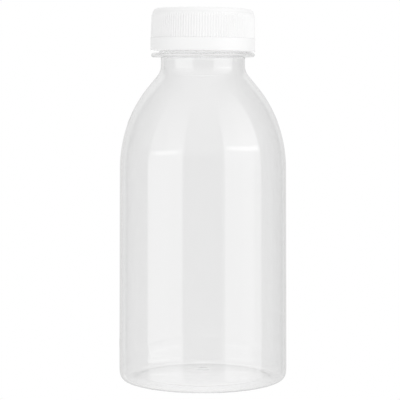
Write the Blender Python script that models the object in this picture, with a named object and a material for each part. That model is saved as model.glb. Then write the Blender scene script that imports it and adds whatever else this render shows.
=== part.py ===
"""Empty clear drinks bottle with a white ribbed screw cap.

Two pieces: the blown bottle (base, wall, shoulder, neck, support ring and threaded finish in
one thin shell, open at the mouth) and the moulded cap that is screwed down over the finish.
Z is up and the origin is the centre of the flat ring on which the bottle stands.
All constants are millimetres or degrees. MM turns them into Blender's metres.
"""
import math

import bmesh
import bpy
from mathutils import Matrix, Vector

MM = 0.001
MERGE = 0.00001

# Bottle, outside
WALL_R_LOW = 33.91        # body radius just above the heel
WALL_R_TOP = 33.46        # body radius where the shoulder starts
HEEL_R = 29.6             # outer edge of the standing ring
HEEL_H = 5.9              # height at which the heel has turned into the wall
HEEL_POWER = 3.4          # superellipse power of the heel, 2 would be an ellipse
SHOULDER_Z = 85.06        # height at which the wall starts to draw in
SHOULDER_A = 40.6         # half axis of the shoulder's ellipse across
SHOULDER_B = 47.5         # half axis of the shoulder's ellipse upwards
SHOULDER_END = 39.25      # slope from the vertical at which the ellipse turns into a cone
NECK_R = 16.875           # outside of the plain neck
NECK_FILLET = 6.4         # hollow radius between cone and neck

# Bottle, base seen from below
STAND_R = 29.2            # inner edge of the flat standing ring
STEP_R = 24.0             # radius of the dome inside the step
STEP_H = 1.2              # height of the step from the standing ring to the dome
DOME_RISE = 2.3           # rise of the dome from its edge to the centre
NUB_R = 2.2               # gate mark in the middle of the base
NUB_FLAT = 1.3            # radius of its flat tip
NUB_H = 0.35

# Bottle, wall thickness
T_WALL = 0.4
T_CENTRE = 0.5            # at the gate mark
T_NECK = 0.25             # in the neck and the support ring, which is blown hollow
T_RAMP = (100.0, 127.0)   # heights between which the wall thins towards the neck

# Bottle, ring and finish
RING_Z = 129.75           # where the underside of the support ring leaves the neck
RING_R = 20.82
RING_EDGE = 0.9           # radius of the ring's rounded rim
RING_TOP = 131.8
FINISH_R = 17.6           # root of the thread
BORE_R = 16.4             # inside of the threaded finish
BEAD_R = 18.5             # bead that holds the cap's lower band back
BEAD_Z = (133.6, 134.4, 135.2, 136.4)
LIP_Z = 147.0
LIP_CHAMFER = 0.3

# Thread, shared by bottle and cap
THREAD_PITCH = 4.2
THREAD_Z = 138.8          # middle of the bottle's ridge where it starts
THREAD_TURNS = 1.5
THREAD_FADE = 40.0        # degrees over which each end of a ridge rises to full height
THREAD_BASE = 1.8         # width of a ridge at its root
THREAD_CREST = 0.8        # width of a ridge at its crest
THREAD_R = 18.75          # crest of the bottle's ridge
THREAD_BURY = 0.4         # depth of a ridge's root inside the wall that carries it

# Cap
CAP_BASE = 132.4          # lower edge of the cap
CAP_TOP = 149.85          # highest point of the crowned top
CAP_CROWN = 0.6           # how much the top falls from the middle to its edge
CROWN_RINGS = (0.25, 0.6)  # shares of the way out at which the crown has a ring of points
BAND_R = 20.95            # plain band below the ribs
BAND_TOP = 137.5
BAND_EDGE = 0.06          # bevel at the band's upper edge
BAND_BEVEL = 0.25         # bevels at its lower edge
SHELL_R = 20.2            # smooth shell that carries the ribs
CORNER = 1.9              # radius between the top and the shell
CORNER_START = 88.0       # angle at which that radius takes over from the crown
RIB_COUNT = 120
RIB_DEPTH = 0.34
RIB_TOP = 147.3           # where the ribs come out of the shell
RIB_LIP = 0.1             # how far their ring stands out there
RIB_FULL = 145.9          # where they have reached their full depth
RIB_BURY = 0.4            # how deep their ring runs down into the band
RIB_R_TOP = 20.66         # over the crests, at RIB_FULL
RIB_R_LOW = 20.86         # over the crests, at the band
CAP_BORE = 19.35          # inside of the skirt
CAP_THREAD_R = 18.15      # crest of the cap's ridge
CAP_PANEL = 2.1           # thickness of the top in its middle
CAP_ROOT = 1.2            # bevel between the skirt and the top, inside
CAP_LEAN = 0.7            # the cap sits slightly askew, its right side lower
CAP_PIVOT = 141.0         # height about which it leans

# Smoothness
TURN_STEPS = 48           # segments of every turned surface
THREAD_STEPS = 30         # segments of a thread in one turn


def arc(centre, radius, start, end, steps):
    """Points of a circular arc in the profile plane, from start to end degrees, ends included."""
    points = []
    for i in range(steps + 1):
        a = math.radians(start + (end - start) * i / steps)
        points.append((centre[0] + radius * math.cos(a), centre[1] + radius * math.sin(a)))
    return points


def ease(x, low, high):
    """Smooth step: 0 at low, 1 at high, level at both ends."""
    t = min(max((x - low) / (high - low), 0.0), 1.0)
    return t * t * (3.0 - 2.0 * t)


def base_profile(dome_steps=3):
    """Underside of the base, from beside the centre out to the edge of the standing ring."""
    apex = STEP_H + DOME_RISE
    points = [(NUB_FLAT, apex - NUB_H), (NUB_R, apex)]
    for i in range(1, dome_steps + 1):
        r = NUB_R + (STEP_R - NUB_R) * i / dome_steps
        points.append((r, STEP_H + DOME_RISE * (1.0 - (r / STEP_R) ** 2)))
    points.append(((STEP_R + STAND_R) / 2, STEP_H / 2))
    points.append((STAND_R, 0.0))
    points.append((HEEL_R, 0.0))
    return points


def heel_profile(steps=5):
    """Outside of the heel, a quarter of a superellipse, from the standing ring to the wall."""
    points = []
    for i in range(1, steps + 1):
        a = math.radians(90.0 * i / steps)
        across = math.sin(a) ** (2.0 / HEEL_POWER)
        up = max(math.cos(a), 0.0) ** (2.0 / HEEL_POWER)
        points.append((HEEL_R + (WALL_R_LOW - HEEL_R) * across, HEEL_H * (1.0 - up)))
    return points


def shoulder_profile(steps=7):
    """Outside of the shoulder, an elliptical arc that is tangent to the wall."""
    slope = math.tan(math.radians(SHOULDER_END))
    last = math.atan(slope * SHOULDER_B / SHOULDER_A)
    points = []
    for i in range(steps + 1):
        u = last * i / steps
        r = WALL_R_TOP - SHOULDER_A * (1.0 - math.cos(u))
        points.append((r, SHOULDER_Z + SHOULDER_B * math.sin(u)))
    return points


def neck_profile(cone_start, steps=4):
    """Hollow fillet from the end of the shoulder's cone up into the plain neck."""
    slope = math.radians(SHOULDER_END)
    centre_r = NECK_R + NECK_FILLET
    low_r = centre_r - NECK_FILLET * math.cos(slope)
    low_z = cone_start[1] + (cone_start[0] - low_r) / math.tan(slope)
    centre = (centre_r, low_z + NECK_FILLET * math.sin(slope))
    return arc(centre, NECK_FILLET, 180.0 + SHOULDER_END, 180.0, steps)


def ring_profile():
    """Outside of the support ring, from the neck round the rim to the step above it."""
    rim_z = RING_TOP - RING_EDGE
    points = [(NECK_R, RING_Z)]
    points += arc((RING_R - RING_EDGE, rim_z), RING_EDGE, -90.0, 90.0, 4)
    points.append((FINISH_R, RING_TOP))
    points.append((FINISH_R, BEAD_Z[0]))
    return points


def finish_profile():
    """Outside above the support ring: bead, thread root and lip."""
    return [
        (BEAD_R, BEAD_Z[1]),
        (BEAD_R, BEAD_Z[2]),
        (FINISH_R, BEAD_Z[3]),
        (FINISH_R, LIP_Z - LIP_CHAMFER),
        (FINISH_R - LIP_CHAMFER, LIP_Z),
    ]


def wall_thickness(r, z):
    """Thickness of the shell: more at the gate mark than in the wall, and less at the neck."""
    if z > HEEL_H:
        return T_WALL + (T_NECK - T_WALL) * ease(z, *T_RAMP)
    return T_CENTRE + (T_WALL - T_CENTRE) * ease(r, 0.0, STAND_R)


def inward(points):
    """The profile moved inwards by the wall thickness, each point along its own normal."""
    moved = []
    for i, (r, z) in enumerate(points):
        before = points[max(i - 1, 0)]
        after = points[min(i + 1, len(points) - 1)]
        along_r, along_z = after[0] - before[0], after[1] - before[1]
        length = math.hypot(along_r, along_z)
        t = wall_thickness(r, z)
        moved.append((r - t * along_z / length, z + t * along_r / length))
    return moved


def bottle_profile():
    """Closed outline of the shell: from the floor inside, up, over the lip and down outside."""
    base = base_profile()
    heel = heel_profile()
    shoulder = shoulder_profile()
    neck = neck_profile(shoulder[-1])
    shell = base + heel + shoulder + neck + ring_profile()
    tip = STEP_H + DOME_RISE - NUB_H
    bore = [(BORE_R, BEAD_Z[3]), (BORE_R, LIP_Z - LIP_CHAMFER), (BORE_R + LIP_CHAMFER, LIP_Z)]
    outside = shell + finish_profile()
    return [(0.0, tip + T_CENTRE)] + inward(shell) + bore + outside[::-1] + [(0.0, tip)]


def cap_profile():
    """Closed outline of the cap's shell: from the top down outside, then up inside."""
    edge_r = SHELL_R - CORNER
    edge_z = CAP_TOP - CAP_CROWN
    ceiling = CAP_TOP - CAP_PANEL
    points = [(0.0, CAP_TOP)]
    points += [(edge_r * share, CAP_TOP - CAP_CROWN * share ** 2) for share in CROWN_RINGS]
    points += arc((edge_r, edge_z - CORNER), CORNER, CORNER_START, 0.0, 4)
    points.append((SHELL_R, BAND_TOP))
    points.append((BAND_R - BAND_EDGE, BAND_TOP))
    points.append((BAND_R, BAND_TOP - BAND_EDGE))
    points.append((BAND_R, CAP_BASE + BAND_BEVEL))
    points.append((BAND_R - BAND_BEVEL, CAP_BASE))
    points.append((CAP_BORE + BAND_BEVEL, CAP_BASE))
    points.append((CAP_BORE, CAP_BASE + BAND_BEVEL))
    points.append((CAP_BORE, ceiling - CAP_ROOT))
    points.append((CAP_BORE - CAP_ROOT, ceiling))
    points.append((0.0, ceiling))
    return points


def turned(name, outline):
    """Object with a profile at +X and a Screw modifier that turns it round Z."""
    mesh = bpy.data.meshes.new(name)
    verts = [(r * MM, 0.0, z * MM) for r, z in outline]
    edges = [(i, i + 1) for i in range(len(verts) - 1)]
    mesh.from_pydata(verts, edges, [])
    obj = bpy.data.objects.new(name, mesh)
    bpy.context.scene.collection.objects.link(obj)
    screw = obj.modifiers.new("turn", "SCREW")
    screw.steps = TURN_STEPS
    screw.render_steps = TURN_STEPS
    screw.use_merge_vertices = True
    screw.merge_threshold = MERGE
    return obj


def thread_ridge(name, root_r, crest_r, z_start, angle_start):
    """Right-handed ridge of a thread, a trapezium swept up a helix, buried at both ends."""
    steps = round(THREAD_TURNS * THREAD_STEPS)
    sign = 1.0 if crest_r > root_r else -1.0
    buried_r = root_r - sign * THREAD_BURY
    hidden_r = root_r - sign * THREAD_BURY / 2
    bm = bmesh.new()
    previous = None
    for i in range(steps + 1):
        turn = 360.0 * THREAD_TURNS * i / steps
        rise = min(ease(turn, 0.0, THREAD_FADE),
                   ease(360.0 * THREAD_TURNS - turn, 0.0, THREAD_FADE))
        top_r = hidden_r + (crest_r - hidden_r) * rise
        z = z_start + THREAD_PITCH * turn / 360.0
        a = math.radians(angle_start + turn)
        corners = (
            (buried_r, z - THREAD_BASE / 2),
            (top_r, z - THREAD_CREST / 2),
            (top_r, z + THREAD_CREST / 2),
            (buried_r, z + THREAD_BASE / 2),
        )
        ring = []
        for r, height in corners:
            ring.append(bm.verts.new((r * MM * math.cos(a), r * MM * math.sin(a), height * MM)))
        if previous:
            for j in range(4):
                k = (j + 1) % 4
                bm.faces.new((previous[j], previous[k], ring[k], ring[j]))
        else:
            bm.faces.new(ring)
        previous = ring
    bm.faces.new(previous[::-1])
    bmesh.ops.triangulate(bm, faces=bm.faces[:])
    bmesh.ops.recalc_face_normals(bm, faces=bm.faces[:])
    return finish_bmesh(bm, name)


def rib_ring(name):
    """Ring of grip ribs: its outside goes in and out twice as often as there are ribs."""
    levels = (
        (RIB_TOP, SHELL_R + RIB_LIP, 0.0),
        (RIB_FULL, RIB_R_TOP, RIB_DEPTH),
        (BAND_TOP - RIB_BURY, RIB_R_LOW, RIB_DEPTH),
    )
    columns = 2 * RIB_COUNT
    inner_r = (SHELL_R + CAP_BORE) / 2
    bm = bmesh.new()
    rings = []
    for z, crest, depth in levels:
        ring = []
        for i in range(columns):
            a = 2.0 * math.pi * i / columns
            r = (crest - depth * (i % 2)) * MM
            ring.append(bm.verts.new((r * math.cos(a), r * math.sin(a), z * MM)))
        rings.append(ring)
    for z in (levels[-1][0], levels[0][0]):
        ring = []
        for i in range(TURN_STEPS):
            a = 2.0 * math.pi * i / TURN_STEPS
            r = inner_r * MM
            ring.append(bm.verts.new((r * math.cos(a), r * math.sin(a), z * MM)))
        rings.append(ring)
    for ring in rings:
        for i, vert in enumerate(ring):
            bm.edges.new((vert, ring[(i + 1) % len(ring)]))
    for upper, lower in zip(rings, rings[1:] + rings[:1]):
        loops = [edge for ring in (upper, lower) for edge in loop_edges(ring)]
        bmesh.ops.bridge_loops(bm, edges=loops)
    bmesh.ops.triangulate(bm, faces=bm.faces[:])
    bmesh.ops.recalc_face_normals(bm, faces=bm.faces[:])
    return finish_bmesh(bm, name)


def loop_edges(ring):
    """The edges between neighbouring vertices of a closed ring."""
    edges = []
    for i, vert in enumerate(ring):
        after = ring[(i + 1) % len(ring)]
        edges += [edge for edge in vert.link_edges if edge.other_vert(vert) == after]
    return edges


def finish_bmesh(bm, name):
    """Turn a bmesh into an object in the scene."""
    mesh = bpy.data.meshes.new(name)
    bm.to_mesh(mesh)
    bm.free()
    obj = bpy.data.objects.new(name, mesh)
    bpy.context.scene.collection.objects.link(obj)
    return obj


def fuse(body, additions):
    """Union the additions into the body and remove them."""
    group = bpy.data.collections.new(body.name + "_additions")
    for obj in additions:
        group.objects.link(obj)
    union = body.modifiers.new("fuse", "BOOLEAN")
    union.operation = "UNION"
    union.solver = "EXACT"
    union.operand_type = "COLLECTION"
    union.collection = group
    graph = bpy.context.evaluated_depsgraph_get()
    fused = bpy.data.meshes.new_from_object(body.evaluated_get(graph), depsgraph=graph)
    fused.name = body.name
    body.modifiers.clear()
    body.data = fused
    for obj in additions:
        bpy.data.objects.remove(obj)
    bpy.data.collections.remove(group)


def smooth(obj, angle=30.0):
    """Smooth shading with sharp edges where faces meet at more than the angle."""
    obj.data.shade_smooth()
    obj.data.set_sharp_from_angle(angle=math.radians(angle))


def plastic(name, colour, roughness, ior, transmission=0.0):
    """Principled material of a moulded plastic."""
    material = bpy.data.materials.new(name)
    material.use_nodes = True
    shader = material.node_tree.nodes["Principled BSDF"]
    shader.inputs["Base Color"].default_value = (*colour, 1.0)
    shader.inputs["Roughness"].default_value = roughness
    shader.inputs["Metallic"].default_value = 0.0
    shader.inputs["IOR"].default_value = ior
    shader.inputs["Transmission Weight"].default_value = transmission
    return material


def make_bottle():
    """The clear shell with its thread."""
    bottle = turned("bottle", bottle_profile())
    ridge = thread_ridge("bottle_thread", FINISH_R, THREAD_R, THREAD_Z, 0.0)
    fuse(bottle, [ridge])
    smooth(bottle)
    bottle.data.materials.append(plastic("clear_pet", (0.96, 0.97, 0.97), 0.03, 1.575, 1.0))
    return bottle


def make_cap():
    """The white cap, ribbed outside and threaded inside, leaning a little to the right."""
    cap = turned("cap", cap_profile())
    ribs = rib_ring("cap_ribs")
    ridge = thread_ridge("cap_thread", CAP_BORE, CAP_THREAD_R, THREAD_Z, 180.0)
    fuse(cap, [ribs, ridge])
    smooth(cap)
    cap.data.materials.append(plastic("white_polyethylene", (0.86, 0.86, 0.86), 0.38, 1.5))
    pivot = Vector((0.0, 0.0, CAP_PIVOT * MM))
    lean = Matrix.Rotation(math.radians(CAP_LEAN), 4, "Y")
    cap.matrix_world = Matrix.Translation(pivot) @ lean @ Matrix.Translation(-pivot)
    return cap


def main():
    for obj in list(bpy.data.objects):
        bpy.data.objects.remove(obj)
    make_bottle()
    make_cap()


main()
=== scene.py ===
"""Empty clear drinks bottle with a white ribbed screw cap, finished for its picture.

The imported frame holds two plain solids, the bottle and the cap. Each is replaced here by a fine
surface of the same form: the blown shell with its smooth shoulder, support ring and pushed-up
base, and the moulded cap with its fine grip ribs. Sizes are millimetres and angles are degrees,
and MM turns a size into the frame's metres.
"""
import logging
import math
from dataclasses import dataclass
from enum import Enum

import bpy
import numpy as np
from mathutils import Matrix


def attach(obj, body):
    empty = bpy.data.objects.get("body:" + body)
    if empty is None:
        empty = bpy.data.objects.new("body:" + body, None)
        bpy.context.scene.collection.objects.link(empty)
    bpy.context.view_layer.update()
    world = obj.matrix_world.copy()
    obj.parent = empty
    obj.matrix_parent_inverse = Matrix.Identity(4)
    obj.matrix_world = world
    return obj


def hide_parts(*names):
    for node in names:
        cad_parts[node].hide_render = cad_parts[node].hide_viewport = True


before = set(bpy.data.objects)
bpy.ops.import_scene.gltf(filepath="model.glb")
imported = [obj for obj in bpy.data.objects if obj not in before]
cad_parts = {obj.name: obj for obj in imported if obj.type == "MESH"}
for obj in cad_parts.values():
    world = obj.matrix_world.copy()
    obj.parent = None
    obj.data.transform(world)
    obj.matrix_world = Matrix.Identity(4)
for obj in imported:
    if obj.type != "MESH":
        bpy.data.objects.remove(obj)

# CORE is the radius at which a profile stops short of the axis, and sizes closer than NEAR count
# as equal, both in millimetres.
MM = 0.001
CORE = 0.1
NEAR = 0.01
FULL_TURN = 360.0
HALF_TURN = 180.0
QUARTER_TURN = 90.0
CLEAR_BOUNCES = 128
DIFFUSE_BOUNCES = 4
LOG = logging.getLogger("bottle")


class Side(Enum):
    """The two sides of the cap's wall, by the number of their material on the piece."""

    OUTSIDE = 0
    # The inside's material carries a painted glow: emission that stands in for light through the
    # wall.
    INSIDE = 1


def linear(hex_colour: str) -> tuple[float, float, float, float]:
    """Turn an sRGB hex colour into linear light.

    Each channel c becomes c / 12.92 below 0.04045, and ((c + 0.055) / 1.055) ** 2.4 above it.

    Args:
        hex_colour: Six hex digits, such as "f2f4f4".

    Returns:
        Red, green, blue and alpha, with alpha 1.
    """
    channels = [int(hex_colour[i:i + 2], 16) / 255.0 for i in (0, 2, 4)]
    light = [c / 12.92 if c <= 0.04045 else ((c + 0.055) / 1.055) ** 2.4 for c in channels]
    return (*light, 1.0)


def add_node(tree: bpy.types.NodeTree, kind: str, settings: dict | None = None,
             inputs: dict | None = None) -> bpy.types.Node:
    """Add one node with its settings and links.

    Args:
        tree: Node tree that gets the node.
        kind: Blender's name of the node's type.
        settings: Properties of the node, by name.
        inputs: Sockets by name or number. A socket as the value is linked, anything else is set.

    Returns:
        The new node.
    """
    node = tree.nodes.new(kind)
    for name, value in (settings or {}).items():
        setattr(node, name, value)
    for key, value in (inputs or {}).items():
        if isinstance(value, bpy.types.NodeSocket):
            tree.links.new(value, node.inputs[key])
        else:
            node.inputs[key].default_value = value
    return node


def calculate(tree: bpy.types.NodeTree, operation: str,
              *values: bpy.types.NodeSocket | float) -> bpy.types.NodeSocket:
    """Result of one step of arithmetic in a node tree.

    Args:
        tree: Node tree that gets the step.
        operation: Blender's name of the operation.
        values: Sockets or numbers, in the operation's order.

    Returns:
        Output socket with the result.
    """
    node = add_node(tree, "ShaderNodeMath", {"operation": operation}, dict(enumerate(values)))
    return node.outputs[0]


def smoothstep(x: np.ndarray, low: float, high: float) -> np.ndarray:
    """Rise from 0 at low to 1 at high by 3t^2 - 2t^3, flat at both ends."""
    t = np.clip((x - low) / (high - low), 0.0, 1.0)
    return t * t * (3.0 - 2.0 * t)


def arc(centre: tuple[float, float], radius: float, start: float, end: float,
        count: int) -> np.ndarray:
    """Points of a circular arc: the centre plus the radius times (cos a, sin a).

    Args:
        centre: Centre in the profile plane, (r, z).
        radius: Radius of the arc.
        start: First angle in degrees.
        end: Last angle in degrees.
        count: Number of points, both ends included.

    Returns:
        Array of (r, z) rows.
    """
    a = np.radians(np.linspace(start, end, count))
    return np.column_stack((centre[0] + radius * np.cos(a), centre[1] + radius * np.sin(a)))


def line(start: tuple[float, float], end: tuple[float, float], count: int) -> np.ndarray:
    """Evenly spaced points from start to end, the start left out."""
    t = np.linspace(0.0, 1.0, count + 1)[1:, None]
    return np.array(start) * (1.0 - t) + np.array(end) * t


def turned_mesh(name: str, radius: np.ndarray, height: np.ndarray) -> bpy.types.Object:
    """Turn rows of radii and heights round Z into one smooth closed mesh.

    Point (i, j) goes to (r cos a, r sin a, z) with a = 2 pi j / columns. Neighbouring rows are
    joined by quads, and the first and last rows close on one point of the axis each.

    Args:
        name: Name of the mesh and its object.
        radius: Radii in millimetres, rows by columns.
        height: Heights in millimetres, rows by columns.

    Returns:
        The new object, linked to the scene. Its faces are the quads row by row, the fan of the
        first row and the fan of the last row.
    """
    rows, columns = radius.shape
    a = 2.0 * np.pi * np.arange(columns) / columns
    grid = np.stack((radius * np.cos(a), radius * np.sin(a), height), axis=-1).reshape(-1, 3)
    i, j = np.meshgrid(np.arange(rows - 1), np.arange(columns), indexing="ij")
    k = (j + 1) % columns
    quads = np.stack((i * columns + j, i * columns + k, (i + 1) * columns + k,
                      (i + 1) * columns + j), axis=-1).reshape(-1, 4)
    first_pole, last_pole = len(grid), len(grid) + 1
    poles = np.array([[0.0, 0.0, height[0, 0]], [0.0, 0.0, height[-1, 0]]])
    ring = np.arange(columns)
    after = (ring + 1) % columns
    last_row = (rows - 1) * columns
    first_fan = np.column_stack((np.full(columns, first_pole), after, ring))
    last_fan = np.column_stack((np.full(columns, last_pole), last_row + ring, last_row + after))
    points = np.vstack((grid, poles)) * MM
    return mesh_object(name, points, quads, np.vstack((first_fan, last_fan)))


def mesh_object(name: str, points: np.ndarray, quads: np.ndarray,
                triangles: np.ndarray) -> bpy.types.Object:
    """Put arrays into a smooth mesh object at the origin.

    Args:
        name: Name of the mesh and its object.
        points: Vertices in metres.
        quads: Vertex numbers of the four-sided faces.
        triangles: Vertex numbers of the three-sided faces.

    Returns:
        The new object, linked to the scene.
    """
    mesh = bpy.data.meshes.new(name)
    corners = np.concatenate((quads.ravel(), triangles.ravel()))
    sizes = np.concatenate((np.full(len(quads), 4), np.full(len(triangles), 3)))
    starts = np.concatenate(([0], np.cumsum(sizes)[:-1]))
    mesh.vertices.add(len(points))
    mesh.vertices.foreach_set("co", points.ravel().astype(np.float32))
    mesh.loops.add(len(corners))
    mesh.loops.foreach_set("vertex_index", corners.astype(np.int32))
    mesh.polygons.add(len(sizes))
    mesh.polygons.foreach_set("loop_start", starts.astype(np.int32))
    mesh.update(calc_edges=True)
    mesh.validate()
    mesh.shade_smooth()
    piece = bpy.data.objects.new(name, mesh)
    bpy.context.scene.collection.objects.link(piece)
    return piece


@dataclass(frozen=True)
class Thread:
    """Right-handed screw thread, one ridge that runs round a cylinder and rises.

    The base and the crest are the ridge's widths at its root and on top, and each end fades out
    over the fade, in degrees.
    """

    pitch: float = 4.2
    start: float = 138.8
    turns: float = 1.5
    fade: float = 40.0
    base: float = 1.8
    crest: float = 0.8

    def ridge(self, height: np.ndarray, angle: np.ndarray, begin: float) -> np.ndarray:
        """Share of the ridge's full height at each point of a cylinder.

        The ridge's middle rises by one pitch a turn. Across it the section is a trapezium, and
        along it both ends fade out.

        Args:
            height: Heights of the points, rows by columns.
            angle: Angles of the points in degrees, rows by columns.
            begin: Angle in degrees at which the ridge starts.

        Returns:
            Values from 0, off the ridge, to 1, on its crest.
        """
        share = np.zeros_like(height)
        length = FULL_TURN * self.turns
        turned = np.mod(angle - begin, FULL_TURN)
        for lap in range(math.ceil(self.turns)):
            along = turned + FULL_TURN * lap
            off = np.abs(height - self.start - self.pitch * along / FULL_TURN)
            across = np.clip((self.base / 2 - off) / (self.base / 2 - self.crest / 2), 0.0, 1.0)
            begun = smoothstep(along, 0.0, self.fade)
            ended = smoothstep(along, length - self.fade, length)
            share = np.maximum(share, across * begun * (1.0 - ended))
        return share


@dataclass(frozen=True)
class ClearPolyester:
    """PET, stretched and blown in a polished mould.

    To the eye it is water clear with a hard gloss on both faces. Blowing leaves the wall a few
    hundredths of a millimetre uneven, so that reflected edges waver slightly.
    """

    name: str = "blown_polyester"
    colour: str = "fdfdfd"
    ior: float = 1.575
    roughness: float = 0.0
    wave_length: float = 14.0
    wave_depth: float = 0.012

    def build(self) -> bpy.types.Material:
        """Make the material, with the unevenness as a bump on Object coordinates."""
        material = bpy.data.materials.new(self.name)
        material.use_nodes = True
        tree = material.node_tree
        shader = tree.nodes["Principled BSDF"]
        place = add_node(tree, "ShaderNodeTexCoord")
        waves = add_node(tree, "ShaderNodeTexNoise", {"noise_dimensions": "3D"}, {
            "Vector": place.outputs["Object"],
            "Scale": 1.0 / (self.wave_length * MM),
            "Detail": 1.0,
            "Roughness": 0.4,
        })
        bump = add_node(tree, "ShaderNodeBump", None, {
            "Height": waves.outputs["Fac"],
            "Strength": 1.0,
            "Distance": self.wave_depth * MM,
        })
        shader.inputs["Base Color"].default_value = linear(self.colour)
        shader.inputs["Metallic"].default_value = 0.0
        shader.inputs["Roughness"].default_value = self.roughness
        shader.inputs["IOR"].default_value = self.ior
        shader.inputs["Transmission Weight"].default_value = 1.0
        tree.links.new(bump.outputs["Normal"], shader.inputs["Normal"])
        return material


@dataclass(frozen=True)
class WhitePolyethylene:
    """HDPE, injection moulded and coloured white.

    To the eye it is a soft, slightly waxy white with a satin gloss and a very shallow grain from
    the mould's spark-eroded steel. The inside is given an emission, painted light that stands in
    for the light the thin wall lets through.
    """

    name: str = "moulded_polyethylene"
    colour: str = "f9f9f9"
    ior: float = 1.54
    roughness: float = 0.38
    grain: float = 0.35
    grain_depth: float = 0.002
    # Strength of the painted glow on the inside, an emission that no lamp gives.
    painted_inner_glow: float = 0.58

    def build(self, side: Side) -> bpy.types.Material:
        """Make the material, with the mould's grain as a bump on Object coordinates.

        Args:
            side: Side of the wall. The inside gets an emission, painted light that stands in for
            the light the wall lets through.

        Returns:
            The material.
        """
        # The inside material gets the painted glow as emission, the outside none.
        name, glow = {
            Side.OUTSIDE: (self.name, 0.0),
            Side.INSIDE: (self.name + "_inside", self.painted_inner_glow),
        }[side]
        material = bpy.data.materials.new(name)
        material.use_nodes = True
        tree = material.node_tree
        shader = tree.nodes["Principled BSDF"]
        place = add_node(tree, "ShaderNodeTexCoord")
        grain = add_node(tree, "ShaderNodeTexNoise", {"noise_dimensions": "3D"}, {
            "Vector": place.outputs["Object"],
            "Scale": 1.0 / (self.grain * MM),
            "Detail": 2.0,
            "Roughness": 0.5,
        })
        bump = add_node(tree, "ShaderNodeBump", None, {
            "Height": grain.outputs["Fac"],
            "Strength": 1.0,
            "Distance": self.grain_depth * MM,
        })
        shader.inputs["Base Color"].default_value = linear(self.colour)
        shader.inputs["Metallic"].default_value = 0.0
        shader.inputs["Roughness"].default_value = self.roughness
        shader.inputs["IOR"].default_value = self.ior
        shader.inputs["Emission Color"].default_value = linear(self.colour)
        shader.inputs["Emission Strength"].default_value = glow
        tree.links.new(bump.outputs["Normal"], shader.inputs["Normal"])
        return material


@dataclass(frozen=True)
class BottleRows:
    """How many points each stretch of the shell's profile gets."""

    mark: int = 9
    dome: int = 22
    step: int = 12
    stand: int = 6
    heel: int = 41
    wall: int = 16
    shoulder: int = 61
    cone: int = 6
    fillet: int = 25
    neck: int = 8
    ring_face: int = 12
    ring_rim: int = 17
    above_ring: int = 8
    bead: int = 3
    thread: int = 56
    lip: int = 3
    funnel: int = 6
    bore: int = 10


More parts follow.
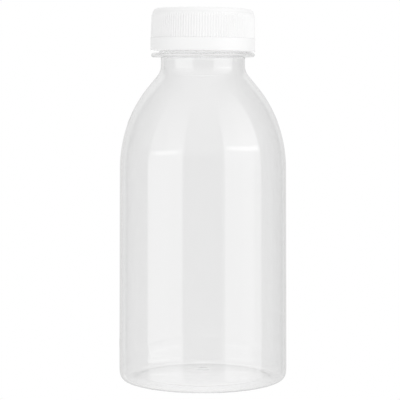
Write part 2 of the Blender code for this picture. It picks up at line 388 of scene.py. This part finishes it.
@dataclass(frozen=True)
class BlownBottle:
    """The clear shell: base, heel, wall, shoulder, neck, support ring and threaded finish.

    Names that start with t are wall thicknesses, and t_ramp gives the heights between which the
    wall thins towards the neck. The four heights of the bead are where it starts, reaches its
    radius, leaves it and ends.
    """

    wall_r_low: float = 33.91
    wall_r_top: float = 33.46
    heel_r: float = 29.6
    heel_h: float = 5.9
    heel_power: float = 3.4
    shoulder_z: float = 85.06
    shoulder_a: float = 40.6
    shoulder_b: float = 47.5
    shoulder_end: float = 39.25
    neck_r: float = 16.875
    neck_fillet: float = 6.4
    stand_r: float = 29.2
    step_r: float = 24.0
    step_h: float = 1.2
    dome_rise: float = 2.3
    nub_r: float = 2.2
    nub_h: float = 0.35
    nub_flat: float = 0.88
    t_wall: float = 0.4
    t_centre: float = 0.5
    t_neck: float = 0.25
    t_ramp: tuple[float, float] = (100.0, 127.0)
    ring_z: float = 129.75
    ring_r: float = 20.82
    ring_edge: float = 0.9
    ring_top: float = 131.8
    finish_r: float = 17.6
    thread_r: float = 18.75
    bead_r: float = 18.5
    bead_z: tuple[float, float, float, float] = (133.6, 134.4, 135.2, 136.4)
    bore: float = 16.4
    lip_z: float = 147.0
    lip_chamfer: float = 0.3
    thread_begin: float = 0.0
    columns: int = 168
    rows: BottleRows = BottleRows()

    def under(self) -> np.ndarray:
        """Underside of the base from near the axis to the edge of the standing ring.

        A shallow paraboloid z = h + d (1 - (r / R)^2), a smooth step down to the ring, and a
        round mark left by the moulding gate in the middle.
        """
        mark = np.linspace(CORE, self.nub_r, self.rows.mark)
        middle = np.linspace(self.nub_r, self.step_r, self.rows.dome)[1:]
        step = np.linspace(self.step_r, self.stand_r, self.rows.step)[1:]
        r = np.concatenate((mark, middle, step))
        share = np.minimum(r, self.step_r) / self.step_r
        dome = self.step_h + self.dome_rise * (1.0 - share ** 2)
        z = dome * (1.0 - smoothstep(r, self.step_r, self.stand_r))
        z -= self.nub_h * (1.0 - smoothstep(r, self.nub_flat, self.nub_r))
        flat = line((self.stand_r, 0.0), (self.heel_r, 0.0), self.rows.stand)
        return np.vstack((np.column_stack((r, z)), flat))

    def heel(self) -> np.ndarray:
        """Quarter of a superellipse, |x|^n + |y|^n = 1, from the standing ring to the wall."""
        a = np.radians(np.linspace(0.0, 90.0, self.rows.heel))[1:]
        across = np.sin(a) ** (2.0 / self.heel_power)
        up = np.maximum(np.cos(a), 0.0) ** (2.0 / self.heel_power)
        r = self.heel_r + (self.wall_r_low - self.heel_r) * across
        return np.column_stack((r, self.heel_h * (1.0 - up)))

    def wall(self) -> np.ndarray:
        """Nearly straight wall from the heel to the shoulder."""
        return line((self.wall_r_low, self.heel_h), (self.wall_r_top, self.shoulder_z),
                    self.rows.wall)

    def shoulder(self) -> np.ndarray:
        """Elliptical arc r = R - A (1 - cos u), z = z0 + B sin u, tangent to the wall."""
        slope = math.tan(math.radians(self.shoulder_end))
        end = math.atan(slope * self.shoulder_b / self.shoulder_a)
        u = np.linspace(0.0, end, self.rows.shoulder)[1:]
        r = self.wall_r_top - self.shoulder_a * (1.0 - np.cos(u))
        return np.column_stack((r, self.shoulder_z + self.shoulder_b * np.sin(u)))

    def neck(self, cone_start: np.ndarray) -> np.ndarray:
        """Short cone, the hollow fillet into the neck, and the plain neck up to the ring.

        Args:
            cone_start: Last point (r, z) of the shoulder.

        Returns:
            Array of (r, z) rows.
        """
        slope = math.radians(self.shoulder_end)
        centre_r = self.neck_r + self.neck_fillet
        low_r = centre_r - self.neck_fillet * math.cos(slope)
        low_z = cone_start[1] + (cone_start[0] - low_r) / math.tan(slope)
        centre = (centre_r, low_z + self.neck_fillet * math.sin(slope))
        cone = line(tuple(cone_start), (low_r, low_z), self.rows.cone)
        fillet = arc(centre, self.neck_fillet, 180.0 + self.shoulder_end, 180.0,
                     self.rows.fillet)[1:]
        plain = line((self.neck_r, centre[1]), (self.neck_r, self.ring_z), self.rows.neck)
        return np.vstack((cone, fillet, plain))

    def ring(self) -> np.ndarray:
        """Support ring with its rounded rim, and the plain step above it."""
        rim = arc((self.ring_r - self.ring_edge, self.ring_top - self.ring_edge), self.ring_edge,
                  -90.0, 90.0, self.rows.ring_rim)
        under = line((self.neck_r, self.ring_z), tuple(rim[0]), self.rows.ring_face)
        top = line(tuple(rim[-1]), (self.finish_r, self.ring_top), self.rows.ring_face)
        step = line(tuple(top[-1]), (self.finish_r, self.bead_z[0]), self.rows.above_ring)
        return np.vstack((under, rim[1:], top, step))

    def finish(self) -> np.ndarray:
        """The bead, the root of the thread and the lip."""
        radii = (self.finish_r, self.bead_r, self.bead_r, self.finish_r)
        bead = list(zip(radii, self.bead_z))
        steps = [line(start, end, self.rows.bead) for start, end in zip(bead, bead[1:])]
        thread = line(bead[-1], (self.finish_r, self.lip_z - self.lip_chamfer), self.rows.thread)
        lip = line(tuple(thread[-1]), (self.finish_r - self.lip_chamfer, self.lip_z),
                   self.rows.lip)
        return np.vstack((*steps, thread, lip))

    def thickness(self, r: np.ndarray, z: np.ndarray) -> np.ndarray:
        """Wall thickness: less at the neck than in the wall, and a little more at the gate."""
        upper = self.t_wall + (self.t_neck - self.t_wall) * smoothstep(z, *self.t_ramp)
        floor = self.t_centre + (self.t_wall - self.t_centre) * smoothstep(r, 0.0, self.stand_r)
        return np.where(z > self.heel_h, upper, floor)

    def inside(self, shell: np.ndarray) -> np.ndarray:
        """The shell's profile moved inwards by the thickness, each point along its own normal."""
        along = np.gradient(shell, axis=0)
        along /= np.linalg.norm(along, axis=1, keepdims=True)
        t = self.thickness(shell[:, 0], shell[:, 1])
        r = np.maximum(shell[:, 0] - t * along[:, 1], CORE / 2)
        return np.column_stack((r, shell[:, 1] + t * along[:, 0]))

    def build(self, material: bpy.types.Material, thread: Thread) -> bpy.types.Object:
        """Turn the closed profile, raise the thread, and stand the piece for its node.

        Args:
            material: Finish of the whole shell.
            thread: Thread on the finish.

        Returns:
            The finished piece.
        """
        body = np.vstack((self.under(), self.heel(), self.wall(), self.shoulder()))
        neck = self.neck(body[-1])
        shell = np.vstack((body, neck, self.ring()))
        inner = self.inside(shell)
        funnel = line(tuple(inner[-1]), (self.bore, self.bead_z[3]), self.rows.funnel)
        bore = line(tuple(funnel[-1]), (self.bore, self.lip_z - self.lip_chamfer), self.rows.bore)
        lip = line(tuple(bore[-1]), (self.bore + self.lip_chamfer, self.lip_z), self.rows.lip)
        outer = np.vstack((shell, self.finish()))
        profile = np.vstack((inner, funnel, bore, lip, outer[::-1]))
        radius = np.repeat(profile[:, :1], self.columns, axis=1)
        height = np.repeat(profile[:, 1:], self.columns, axis=1)
        angle = np.tile(FULL_TURN * np.arange(self.columns) / self.columns, (len(profile), 1))
        on_root = (np.abs(profile[:, 0] - self.finish_r) < NEAR) & (profile[:, 1] > self.bead_z[3])
        share = thread.ridge(height, angle, self.thread_begin) * on_root[:, None]
        radius = radius + (self.thread_r - self.finish_r) * share
        piece = turned_mesh("bottle_shell", radius[::-1], height[::-1])
        piece.data.materials.append(material)
        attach(piece, "root")
        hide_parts("bottle")
        return piece


@dataclass(frozen=True)
class CapRows:
    """How many points each stretch of the cap's outline gets."""

    crown: int = 14
    corner: int = 12
    ribs: int = 26
    rounding: int = 5
    band: int = 5
    mouth: int = 2
    skirt: int = 26
    cove: int = 3
    ceiling: int = 4


@dataclass(frozen=True)
class RibbedCap:
    """The white screw cap: crowned top, grip ribs, and the plain band below them.

    The ribs come out of the shell at rib_top and have their full depth from rib_full down. Over
    their crests the cap widens from rib_r_top there to rib_r_low at the band. The cap leans about
    the pivot's height.
    """

    base: float = 132.4
    top: float = 149.845
    crown: float = 0.6
    band_r: float = 20.95
    band_top: float = 137.5
    band_edge: float = 0.1
    band_bevel: float = 0.25
    shell_r: float = 20.2
    corner: float = 1.9
    corner_arc: tuple[float, float] = (86.0, 8.0)
    ribs: int = 120
    rib_depth: float = 0.28
    rib_top: float = 147.6
    rib_full: float = 145.9
    rib_r_top: float = 20.66
    rib_r_low: float = 20.86
    bore: float = 19.35
    thread_r: float = 18.15
    panel: float = 2.1
    root: float = 1.2
    lean: float = 0.7
    pivot: float = 141.0
    thread_begin: float = 180.0
    columns_per_rib: int = 8
    rows: CapRows = CapRows()

    def profile(self) -> tuple[np.ndarray, np.ndarray]:
        """Closed outline and, for each of its points, how deep the ribs are cut there.

        The outside runs from the middle of the crowned top, z = top - crown (r / R)^2, round the
        corner, down the ribs and the band, and the inside runs back up to the ceiling.

        Returns:
            Array of (r, z) rows, and the rib depth of each row.
        """
        edge_r = self.shell_r - self.corner
        centre = (edge_r, self.top - self.crown - self.corner)
        r = np.linspace(CORE, edge_r, self.rows.crown)[:-1]
        crown = np.column_stack((r, self.top - self.crown * (r / edge_r) ** 2))
        corner = arc(centre, self.corner, *self.corner_arc, self.rows.corner)
        z = np.linspace(self.rib_top, self.band_top + 2.0 * NEAR, self.rows.ribs)
        full = smoothstep(-z, -self.rib_top, -self.rib_full)
        crest = self.rib_r_top + (self.rib_r_low - self.rib_r_top) * (self.rib_full - z) / (
            self.rib_full - self.band_top)
        ribs = np.column_stack((self.shell_r + (crest - self.shell_r) * full, z))
        edge = arc((self.band_r - self.band_edge, self.band_top - self.band_edge), self.band_edge,
                   90.0, 0.0, self.rows.rounding)
        foot = arc((self.band_r - self.band_bevel, self.base + self.band_bevel), self.band_bevel,
                   0.0, -90.0, self.rows.rounding)
        band = line(tuple(edge[-1]), tuple(foot[0]), self.rows.band)[:-1]
        ceiling = self.top - self.panel
        mouth = line(tuple(foot[-1]), (self.bore + self.band_bevel, self.base), self.rows.mouth)
        lead = line(tuple(mouth[-1]), (self.bore, self.base + self.band_bevel), self.rows.mouth)
        skirt = line(tuple(lead[-1]), (self.bore, ceiling - self.root), self.rows.skirt)
        cove = line(tuple(skirt[-1]), (self.bore - self.root, ceiling), self.rows.cove)
        flat = line(tuple(cove[-1]), (CORE, ceiling), self.rows.ceiling)
        outline = np.vstack((crown, corner, ribs, edge, band, foot, mouth, lead, skirt, cove, flat))
        depth = np.zeros(len(outline))
        first_rib = len(crown) + len(corner)
        depth[first_rib:first_rib + len(ribs)] = self.rib_depth * full
        return outline, depth

    def build(self, finish: WhitePolyethylene, thread: Thread) -> bpy.types.Object:
        """Turn the outline, cut the ribs, raise the thread inside, lean it and place it.

        Args:
            finish: The cap's plastic.
            thread: Thread inside the skirt.

        Returns:
            The finished piece.
        """
        outline, depth = self.profile()
        columns = self.ribs * self.columns_per_rib
        a = 2.0 * np.pi * np.arange(columns) / columns
        groove = 0.5 - 0.5 * np.cos(self.ribs * a)
        radius = outline[:, :1] - depth[:, None] * groove[None, :]
        height = np.repeat(outline[:, 1:], columns, axis=1)
        on_skirt = (np.abs(outline[:, 0] - self.bore) < NEAR) & (outline[:, 1] > self.band_top)
        angle = np.tile(np.degrees(a), (len(outline), 1))
        share = thread.ridge(height, angle, self.thread_begin)
        radius = radius - (self.bore - self.thread_r) * share * on_skirt[:, None]
        piece = turned_mesh("cap_moulding", radius[::-1], height[::-1])
        self.tilt(piece.data)
        for side in Side:
            piece.data.materials.append(finish.build(side))
        # The underside, the skirt's inside and the ceiling get the material with the painted glow.
        self.mark_inside(piece.data, outline, columns)
        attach(piece, "root")
        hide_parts("cap")
        return piece

    def mark_inside(self, mesh: bpy.types.Mesh, outline: np.ndarray, columns: int) -> None:
        """Give the underside, the skirt's inside and the ceiling the inside material, whose
        emission is painted light. The support ring's top mirrors that painted glow from the
        underside.

        The mesh was turned from the outline's last row to its first, so that its first rows of
        quads and its first fan lie inside.

        Args:
            mesh: Mesh of the cap.
            outline: Outline that it was turned from.
            columns: Number of points in one turn.
        """
        lower_edge = int(np.argmax(outline[:, 1] < self.base + NEAR))
        side = np.full(len(mesh.polygons), Side.OUTSIDE.value, dtype=np.int32)
        side[:(len(outline) - lower_edge) * columns] = Side.INSIDE.value
        side[-2 * columns:-columns] = Side.INSIDE.value
        mesh.polygons.foreach_set("material_index", side)

    def tilt(self, mesh: bpy.types.Mesh) -> None:
        """Turn the mesh by the lean about the Y direction through the pivot."""
        points = np.empty(len(mesh.vertices) * 3, dtype=np.float32)
        mesh.vertices.foreach_get("co", points)
        x, y, z = points.reshape(-1, 3).T
        up = z - self.pivot * MM
        c, s = math.cos(math.radians(self.lean)), math.sin(math.radians(self.lean))
        turned = np.column_stack((c * x + s * up, y, self.pivot * MM + c * up - s * x))
        mesh.vertices.foreach_set("co", turned.ravel().astype(np.float32))
        mesh.update()


@dataclass(frozen=True)
class SoftBox:
    """A softbox or tube of the studio, as the bottle mirrors it.

    The azimuth is counted from the camera's side, positive to the right, and the elevation from
    the horizon. Each edge is soft over twice its softness. The droop is how many degrees the box
    comes down for each degree of azimuth, to either side.
    """

    azimuth: tuple[float, float]
    elevation: tuple[float, float]
    radiance: float
    side_soft: float = 1.5
    end_soft: float = 3.0
    droop: float = 0.0


@dataclass(frozen=True)
class Falloff:
    """Radiance, or a share of it, that changes evenly with one angle between (angle, value) stops.

    Beyond the span, which the first and last stops end, the value stays as it is there.
    """

    stops: tuple[tuple[float, float], ...]
    span: tuple[float, float]

    def socket(self, tree: bpy.types.NodeTree, angle: bpy.types.NodeSocket) -> bpy.types.NodeSocket:
        """Socket with the radiance at the angle, by straight lines between the stops.

        Args:
            tree: Node tree of the world.
            angle: Angle in degrees.

        Returns:
            Output socket with the radiance.
        """
        low, high = self.span
        share = add_node(tree, "ShaderNodeMapRange", None, {
            "Value": angle, "From Min": low, "From Max": high})
        ramp = add_node(tree, "ShaderNodeValToRGB", None, {"Fac": share.outputs["Result"]})
        marks = ramp.color_ramp.elements
        while len(marks) < len(self.stops):
            marks.new(1.0)
        for mark, (at, radiance) in zip(marks, self.stops):
            mark.position = (at - low) / (high - low)
            mark.color = (radiance, radiance, radiance, 1.0)
        return ramp.outputs["Color"]


@dataclass(frozen=True)
class Studio:
    """White surroundings with two tall softboxes, a lit sweep behind and a dim camera side.

    What the bottle lets through is the plain white. What it mirrors is the studio proper. Each
    softbox is two windows, the second for its brighter part. They start at box_foot, are
    brightest at box_peak and fade to nothing at box_end. A tube hangs in front of each.

    Brightness is a share of the plain white. The sweep has its glow straight behind the bottle,
    and an edge on each side where it gives way to a darker wall. The walls fade towards the
    camera and darken upwards, between the two powers of side_contrast and outside side_end. The
    room is the least light that there is: a lit floor, the dim camera side and a pale ceiling.
    The flag keeps a share of the light off the cap's left.
    """

    boxes: tuple[SoftBox, ...] = (
        SoftBox((-80.0, -27.5), (-70.0, 80.0), 0.35),
        SoftBox((-54.0, -27.5), (-70.0, 80.0), 0.15, 6.0),
        SoftBox((30.0, 87.0), (-70.0, 80.0), 0.70),
        SoftBox((54.0, 87.0), (-70.0, 80.0), 0.20, 6.0),
    )
    tubes: tuple[SoftBox, ...] = (
        SoftBox((-72.0, -32.0), (16.2, 19.2), 0.8, 6.0, 1.2, 0.1),
        SoftBox((36.0, 86.0), (19.2, 22.2), 1.0, 6.0, 1.4, 0.1),
    )
    box_foot: tuple[float, float] = (-14.0, -11.0)
    box_foot_share: float = 0.7
    box_peak: float = 18.0
    box_peak_share: float = 1.1
    box_end: float = 64.0
    glow: float = 0.9
    glow_width: float = 12.0
    sweep_middle: float = 0.8
    sweep_side: float = 0.7
    wall_far: float = 0.4
    wall_near: float = 0.1
    left_edge: tuple[float, float] = (131.0, 138.0)
    right_edge: tuple[float, float] = (137.0, 146.0)
    lift_angles: tuple[float, float] = (-6.0, 20.0)
    lift: tuple[float, float] = (0.95, 1.1)
    side_fade: float = 50.0
    side_contrast: tuple[float, float] = (0.6, 1.5)
    side_end: tuple[float, float] = (136.0, 144.0)
    floor: float = 0.4
    floor_edge: tuple[float, float] = (-16.0, -8.0)
    camera_side: float = 0.05
    ceiling: float = 0.4
    ceiling_start: float = 26.0
    flag: float = 0.20

    def around(self) -> Falloff:
        """Brightness round the bottle by azimuth: the sweep behind it and a wall on each side."""
        middle = HALF_TURN - self.glow_width
        left, right = self.left_edge, self.right_edge
        return Falloff((
            (-HALF_TURN, self.glow), (-middle, self.sweep_middle), (-left[1], self.sweep_side),
            (-left[0], self.wall_far), (-QUARTER_TURN, self.wall_near), (0.0, 0.0),
            (QUARTER_TURN, self.wall_near), (right[0], self.wall_far),
            (right[1], self.sweep_side), (middle, self.sweep_middle), (HALF_TURN, self.glow)),
            (-HALF_TURN, HALF_TURN))

    def room(self) -> Falloff:
        """Least brightness by elevation: the floor, the camera side and the ceiling."""
        return Falloff((
            (self.floor_edge[0], self.floor), (self.floor_edge[1], self.camera_side),
            (self.ceiling_start, self.camera_side), (QUARTER_TURN, self.ceiling)),
            (self.floor_edge[0], QUARTER_TURN))

    def box_height(self) -> Falloff:
        """Share of a softbox's light by elevation, a tent from its foot over its peak."""
        start, foot = self.box_foot
        return Falloff((
            (start, 0.0), (foot, self.box_foot_share), (self.box_peak, self.box_peak_share),
            (self.box_end, 0.0)), (start, self.box_end))

    def sweep_lift(self) -> Falloff:
        """Factor on the sweep by elevation, which rises evenly between the lift's angles."""
        return Falloff(tuple(zip(self.lift_angles, self.lift)), self.lift_angles)

    def window(self, tree: bpy.types.NodeTree, value: bpy.types.NodeSocket, low: float,
               high: float, soft: float) -> bpy.types.NodeSocket:
        """Socket that is 1 while value lies between low and high, with smooth edges.

        Args:
            tree: Node tree of the world.
            value: Angle in degrees.
            low: Middle of the rising edge.
            high: Middle of the falling edge.
            soft: Half the width of each edge.

        Returns:
            Output socket with the window.
        """
        rise = add_node(tree, "ShaderNodeMapRange", {"interpolation_type": "SMOOTHSTEP"}, {
            "Value": value, "From Min": low - soft, "From Max": low + soft})
        fall = add_node(tree, "ShaderNodeMapRange", {"interpolation_type": "SMOOTHSTEP"}, {
            "Value": value, "From Min": high - soft, "From Max": high + soft,
            "To Min": 1.0, "To Max": 0.0})
        return calculate(tree, "MULTIPLY", rise.outputs["Result"], fall.outputs["Result"])

    def lamps(self, tree: bpy.types.NodeTree, boxes: tuple[SoftBox, ...],
              azimuth: bpy.types.NodeSocket,
              elevation: bpy.types.NodeSocket) -> bpy.types.NodeSocket:
        """Socket with the summed radiance of the given boxes.

        Args:
            tree: Node tree of the world.
            boxes: Softboxes or tubes.
            azimuth: Azimuth in degrees.
            elevation: Elevation in degrees.

        Returns:
            Output socket with the sum.
        """
        total = None
        aside = calculate(tree, "ABSOLUTE", azimuth)
        for box in boxes:
            across = self.window(tree, azimuth, *box.azimuth, box.side_soft)
            lifted = calculate(tree, "MULTIPLY_ADD", aside, box.droop, elevation)
            along = self.window(tree, lifted, *box.elevation, box.end_soft)
            area = calculate(tree, "MULTIPLY", across, along)
            light = calculate(tree, "MULTIPLY", area, box.radiance)
            total = light if total is None else calculate(tree, "ADD", total, light)
        return total

    def backdrop(self, tree: bpy.types.NodeTree, azimuth: bpy.types.NodeSocket,
                 elevation: bpy.types.NodeSocket) -> bpy.types.NodeSocket:
        """Socket with the radiance of the sweep behind the bottle and of the walls beside it.

        It is the sweep's radiance at the azimuth, raised to a power that grows with elevation on
        the side walls and is 1 behind the bottle, times the lift at the elevation.

        Args:
            tree: Node tree of the world.
            azimuth: Azimuth in degrees.
            elevation: Elevation in degrees.

        Returns:
            Output socket with the radiance.
        """
        beside = add_node(tree, "ShaderNodeMapRange", None, {
            "Value": calculate(tree, "ABSOLUTE", azimuth), "From Min": self.side_end[0],
            "From Max": self.side_end[1], "To Min": 1.0 / self.side_fade, "To Max": 0.0})
        higher = calculate(tree, "MULTIPLY_ADD", elevation, beside.outputs["Result"], 1.0)
        power = add_node(tree, "ShaderNodeClamp", None, {
            "Value": higher, "Min": self.side_contrast[0], "Max": self.side_contrast[1]})
        around = calculate(tree, "POWER", self.around().socket(tree, azimuth), power.outputs[0])
        return calculate(tree, "MULTIPLY", around, self.sweep_lift().socket(tree, elevation))

    def build(self) -> None:
        """Make the world: white to the eye, the studio in every mirrored ray."""
        world = bpy.data.worlds.new("studio")
        bpy.context.scene.world = world
        world.use_nodes = True
        tree = world.node_tree
        tree.nodes.clear()
        place = add_node(tree, "ShaderNodeTexCoord")
        axes = add_node(tree, "ShaderNodeSeparateXYZ", None, {0: place.outputs["Generated"]})
        front = calculate(tree, "MULTIPLY", axes.outputs["Y"], -1.0)
        turn = calculate(tree, "ARCTAN2", axes.outputs["X"], front)
        azimuth = calculate(tree, "DEGREES", turn)
        rise = calculate(tree, "ARCSINE", axes.outputs["Z"])
        elevation = calculate(tree, "DEGREES", rise)
        walls = calculate(tree, "MAXIMUM", self.backdrop(tree, azimuth, elevation),
                          self.room().socket(tree, elevation))
        boxes = calculate(tree, "MULTIPLY", self.lamps(tree, self.boxes, azimuth, elevation),
                          self.box_height().socket(tree, elevation))
        lit = calculate(tree, "ADD", walls, boxes)
        light = calculate(tree, "ADD", lit, self.lamps(tree, self.tubes, azimuth, elevation))
        path = add_node(tree, "ShaderNodeLightPath")
        leftward = calculate(tree, "MULTIPLY", axes.outputs["X"], -1.0)
        shaded = calculate(tree, "MAXIMUM", leftward, 0.0)
        flag = calculate(tree, "MULTIPLY", shaded, self.flag)
        lost = calculate(tree, "MULTIPLY", flag, path.outputs["Is Diffuse Ray"])
        white = calculate(tree, "SUBTRACT", 1.0, lost)
        mirrored = calculate(tree, "GREATER_THAN", path.outputs["Glossy Depth"], 0.5)
        factor, first, second = 0, 2, 3
        seen = add_node(tree, "ShaderNodeMix", {"data_type": "FLOAT"}, {
            factor: mirrored, first: white, second: light})
        backdrop = add_node(tree, "ShaderNodeBackground", None, {
            "Color": (1.0, 1.0, 1.0, 1.0), "Strength": seen.outputs[0]})
        add_node(tree, "ShaderNodeOutputWorld", None, {"Surface": backdrop.outputs[0]})


@dataclass(frozen=True)
class WhiteTable:
    """White acrylic table top, lit from below, so that no shadow shows on it.

    Mirrored rays pass through it, because the studio's own radiance holds below the horizon too.
    """

    radius: float = 3000.0
    drop: float = 0.2
    glow: float = 1.0
    sides: int = 96

    def build(self) -> bpy.types.Object:
        """Make a large disc just under the bottle."""
        ring = np.arange(self.sides)
        a = 2.0 * np.pi * ring / self.sides
        rim = np.column_stack((self.radius * np.cos(a), self.radius * np.sin(a),
                               np.full(self.sides, -self.drop)))
        points = np.vstack((rim, [[0.0, 0.0, -self.drop]])) * MM
        fans = np.column_stack((np.full(self.sides, self.sides), ring, (ring + 1) % self.sides))
        table = mesh_object("white_table", points, np.empty((0, 4), dtype=int), fans)
        material = bpy.data.materials.new("white_acrylic")
        material.use_nodes = True
        tree = material.node_tree
        tree.nodes.clear()
        path = add_node(tree, "ShaderNodeLightPath")
        mirrored = calculate(tree, "GREATER_THAN", path.outputs["Glossy Depth"], 0.5)
        glow = add_node(tree, "ShaderNodeEmission", None, {"Strength": self.glow})
        gone = add_node(tree, "ShaderNodeBsdfTransparent")
        factor, first, second = 0, 1, 2
        seen = add_node(tree, "ShaderNodeMixShader", None, {
            factor: mirrored, first: glow.outputs[0], second: gone.outputs[0]})
        add_node(tree, "ShaderNodeOutputMaterial", None, {"Surface": seen.outputs[0]})
        table.data.materials.append(material)
        return table


@dataclass(frozen=True)
class KeyLight:
    """Large soft lamp to the right of the camera, which models the white cap."""

    position: tuple[float, float, float] = (700.0, -900.0, 500.0)
    size: float = 700.0
    watts: float = 1.2
    target: float = 140.0

    def build(self) -> bpy.types.Object:
        """Make the lamp, aimed at the cap on the bottle's axis, and keep it out of reflections."""
        lamp = bpy.data.lights.new("key", "AREA")
        lamp.shape = "DISK"
        lamp.size = self.size * MM
        lamp.energy = self.watts
        key = bpy.data.objects.new("key", lamp)
        bpy.context.scene.collection.objects.link(key)
        x, y, z = (c * MM for c in self.position)
        key.location = (x, y, z)
        down = math.atan2(math.hypot(x, y), z - self.target * MM)
        key.rotation_euler = (down, 0.0, math.atan2(y, x) + math.pi / 2)
        key.visible_glossy = False
        key.visible_transmission = False
        return key


@dataclass(frozen=True)
class Camera:
    """The camera at the photograph's viewing angle, a long lens slightly above mid height."""

    distance: float = 625.7
    height: float = 119.06
    pitch: float = 4.24
    axis_offset: float = 1.19
    lens: float = 139.99
    sensor: float = 36.0
    near_clip: float = 10.0

    def build(self) -> bpy.types.Object:
        """Make the camera in front of the bottle, on the -Y side, and use it."""
        data = bpy.data.cameras.new("camera")
        data.lens = self.lens
        data.sensor_width = self.sensor
        data.clip_start = self.near_clip * MM
        camera = bpy.data.objects.new("camera", data)
        bpy.context.scene.collection.objects.link(camera)
        camera.location = (-self.axis_offset * MM, -self.distance * MM, self.height * MM)
        camera.rotation_euler = (math.radians(90.0 - self.pitch), 0.0, 0.0)
        bpy.context.scene.camera = camera
        return camera


def set_light_paths(scene: bpy.types.Scene) -> None:
    """Let light bounce often enough inside the clear wall, and show plain sRGB."""
    scene.view_settings.view_transform = "Standard"
    scene.cycles.max_bounces = CLEAR_BOUNCES
    scene.cycles.glossy_bounces = CLEAR_BOUNCES
    scene.cycles.transmission_bounces = CLEAR_BOUNCES
    scene.cycles.diffuse_bounces = DIFFUSE_BOUNCES


def main() -> None:
    """Build the pieces in order and report each one."""
    logging.basicConfig(level=logging.INFO, format="%(message)s")
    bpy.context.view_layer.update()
    thread = Thread()
    set_light_paths(bpy.context.scene)
    Camera().build()
    pieces = (
        BlownBottle().build(ClearPolyester().build(), thread),
        RibbedCap().build(WhitePolyethylene(), thread),
    )
    for piece in pieces:
        LOG.info("%s: %d faces", piece.name, len(piece.data.polygons))
    WhiteTable().build()
    KeyLight().build()
    Studio().build()


if __name__ == "__main__":
    main()
